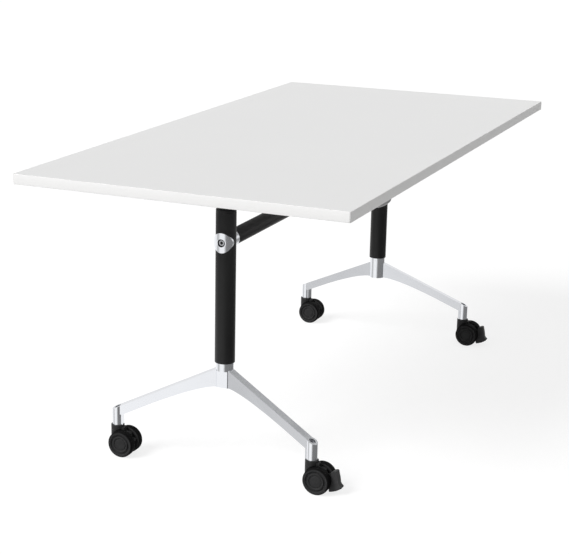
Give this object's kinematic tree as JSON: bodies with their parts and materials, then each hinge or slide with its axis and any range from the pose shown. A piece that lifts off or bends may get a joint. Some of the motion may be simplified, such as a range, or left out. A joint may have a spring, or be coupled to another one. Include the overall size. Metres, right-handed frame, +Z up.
{
  "type": "flip top training table",
  "caption": "Rectangular training table on braked castors whose white top tips upright about two column heads when a lever under its front edge draws the latch bolts.",
  "frame": {"origin": "on the floor under the middle of the table top", "axes": "+X along the table from the near end to the far end, -Y to the front edge with the release lever, +Z up"},
  "size_m": [1.6, 0.8, 0.71],
  "materials": {
    "laminate": "white melamine laminate, fine satin texture",
    "edging": "satin white plastic edge band",
    "black_paint": "black powder coat, fine texture",
    "polished_cast": "polished die cast aluminium",
    "zinc_steel": "zinc plated steel",
    "dark_steel": "blackened steel, oiled",
    "black_nylon": "moulded black nylon",
    "grey_nylon": "moulded dark grey nylon",
    "buffer_rubber": "black rubber"
  },
  "bodies": {
    "base": {"crossbar": "black_paint", "column_near": "black_paint", "column_plug_near": "zinc_steel", "foot_bolt_near": "zinc_steel", "foot_near": "polished_cast", "saddle_ring_near": "polished_cast", "saddle_cap_near": "polished_cast", "crossbar_insert_near": "zinc_steel", "crossbar_bolt_near": "zinc_steel", "pivot_head_near": "black_paint", "stop_buffer_near": "buffer_rubber", "column_far": "black_paint", "column_plug_far": "zinc_steel", "foot_bolt_far": "zinc_steel", "foot_far": "polished_cast", "saddle_ring_far": "polished_cast", "saddle_cap_far": "polished_cast", "crossbar_insert_far": "zinc_steel", "crossbar_bolt_far": "zinc_steel", "pivot_head_far": "black_paint", "stop_buffer_far": "buffer_rubber", "castor_stem_near_front": "dark_steel", "castor_stem_near_back": "dark_steel", "castor_stem_far_front": "dark_steel", "castor_stem_far_back": "dark_steel"},
    "top": {"table_top": "laminate", "edge_band": "edging", "support_arm_near": "black_paint", "pivot_bolt_near": "zinc_steel", "bolt_guide_near": "black_nylon", "latch_spring_near": "zinc_steel", "support_arm_far": "black_paint", "pivot_bolt_far": "zinc_steel", "bolt_guide_far": "black_nylon", "latch_spring_far": "zinc_steel"},
    "release": {"release_rod": "zinc_steel", "release_lever": "grey_nylon", "latch_crank_near": "zinc_steel", "latch_crank_far": "zinc_steel"},
    "latch_near": {"latch_bolt_near": "zinc_steel"},
    "latch_far": {"latch_bolt_far": "zinc_steel"},
    "castor_near_front": {"castor_hood_near_front": "black_nylon", "castor_axle_near_front": "zinc_steel"},
    "left_wheel_near_front": {"wheel_left_near_front": "black_nylon"},
    "right_wheel_near_front": {"wheel_right_near_front": "black_nylon"},
    "pedal_near_front": {"brake_pedal_near_front": "black_nylon"},
    "castor_near_back": {"castor_hood_near_back": "black_nylon", "castor_axle_near_back": "zinc_steel"},
    "left_wheel_near_back": {"wheel_left_near_back": "black_nylon"},
    "right_wheel_near_back": {"wheel_right_near_back": "black_nylon"},
    "castor_far_front": {"castor_hood_far_front": "black_nylon", "castor_axle_far_front": "zinc_steel"},
    "left_wheel_far_front": {"wheel_left_far_front": "black_nylon"},
    "right_wheel_far_front": {"wheel_right_far_front": "black_nylon"},
    "pedal_far_front": {"brake_pedal_far_front": "black_nylon"},
    "castor_far_back": {"castor_hood_far_back": "black_nylon", "castor_axle_far_back": "zinc_steel"},
    "left_wheel_far_back": {"wheel_left_far_back": "black_nylon"},
    "right_wheel_far_back": {"wheel_right_far_back": "black_nylon"}
  },
  "joints": [
    {"name": "top_flip", "type": "hinge", "parent": "base", "child": "top", "pos_m": [0, 0.008, 0.65], "axis": [-1, 0, 0], "range_deg": [0, 90]},
    {"name": "release_turn", "type": "hinge", "parent": "top", "child": "release", "pos_m": [0, -0.322, 0.676], "axis": [-1, 0, 0], "range_deg": [0, 14]},
    {"name": "latch_slide_near", "type": "slide", "parent": "top", "child": "latch_near", "axis": [0, -1, 0], "range_m": [0, 0.0046], "stiffness_N_per_m": 120, "springref_m": -0.01, "deforming": ["latch_spring_near"]},
    {"name": "latch_slide_far", "type": "slide", "parent": "top", "child": "latch_far", "axis": [0, -1, 0], "range_m": [0, 0.0046], "deforming": ["latch_spring_far"]},
    {"name": "swivel_near_front", "type": "hinge", "parent": "base", "child": "castor_near_front", "pos_m": [-0.6, -0.252, 0.07], "axis": [0, 0, 1], "continuous": true},
    {"name": "left_wheel_spin_near_front", "type": "hinge", "parent": "castor_near_front", "child": "left_wheel_near_front", "pos_m": [-0.6, -0.272, 0.0325], "axis": [1, 0, 0], "continuous": true},
    {"name": "right_wheel_spin_near_front", "type": "hinge", "parent": "castor_near_front", "child": "right_wheel_near_front", "pos_m": [-0.6, -0.272, 0.0325], "axis": [1, 0, 0], "continuous": true},
    {"name": "brake_press_near_front", "type": "hinge", "parent": "castor_near_front", "child": "pedal_near_front", "pos_m": [-0.6, -0.294, 0.04], "axis": [1, 0, 0], "range_deg": [0, 12]},
    {"name": "swivel_near_back", "type": "hinge", "parent": "base", "child": "castor_near_back", "pos_m": [-0.6, 0.252, 0.07], "axis": [0, 0, 1], "continuous": true},
    {"name": "left_wheel_spin_near_back", "type": "hinge", "parent": "castor_near_back", "child": "left_wheel_near_back", "pos_m": [-0.6, 0.232, 0.0325], "axis": [1, 0, 0], "continuous": true},
    {"name": "right_wheel_spin_near_back", "type": "hinge", "parent": "castor_near_back", "child": "right_wheel_near_back", "pos_m": [-0.6, 0.232, 0.0325], "axis": [1, 0, 0], "continuous": true},
    {"name": "swivel_far_front", "type": "hinge", "parent": "base", "child": "castor_far_front", "pos_m": [0.6, -0.252, 0.07], "axis": [0, 0, 1], "continuous": true},
    {"name": "left_wheel_spin_far_front", "type": "hinge", "parent": "castor_far_front", "child": "left_wheel_far_front", "pos_m": [0.6, -0.272, 0.0325], "axis": [1, 0, 0], "continuous": true},
    {"name": "right_wheel_spin_far_front", "type": "hinge", "parent": "castor_far_front", "child": "right_wheel_far_front", "pos_m": [0.6, -0.272, 0.0325], "axis": [1, 0, 0], "continuous": true},
    {"name": "brake_press_far_front", "type": "hinge", "parent": "castor_far_front", "child": "pedal_far_front", "pos_m": [0.6, -0.294, 0.04], "axis": [1, 0, 0], "range_deg": [0, 12]},
    {"name": "swivel_far_back", "type": "hinge", "parent": "base", "child": "castor_far_back", "pos_m": [0.6, 0.252, 0.07], "axis": [0, 0, 1], "continuous": true},
    {"name": "left_wheel_spin_far_back", "type": "hinge", "parent": "castor_far_back", "child": "left_wheel_far_back", "pos_m": [0.6, 0.232, 0.0325], "axis": [1, 0, 0], "continuous": true},
    {"name": "right_wheel_spin_far_back", "type": "hinge", "parent": "castor_far_back", "child": "right_wheel_far_back", "pos_m": [0.6, 0.232, 0.0325], "axis": [1, 0, 0], "continuous": true}
  ],
  "couplings": [
    {"joint": "release_turn", "follows": "latch_slide_near", "rad_per_m": 52.632},
    {"joint": "latch_slide_far", "follows": "latch_slide_near", "ratio": 1}
  ]
}
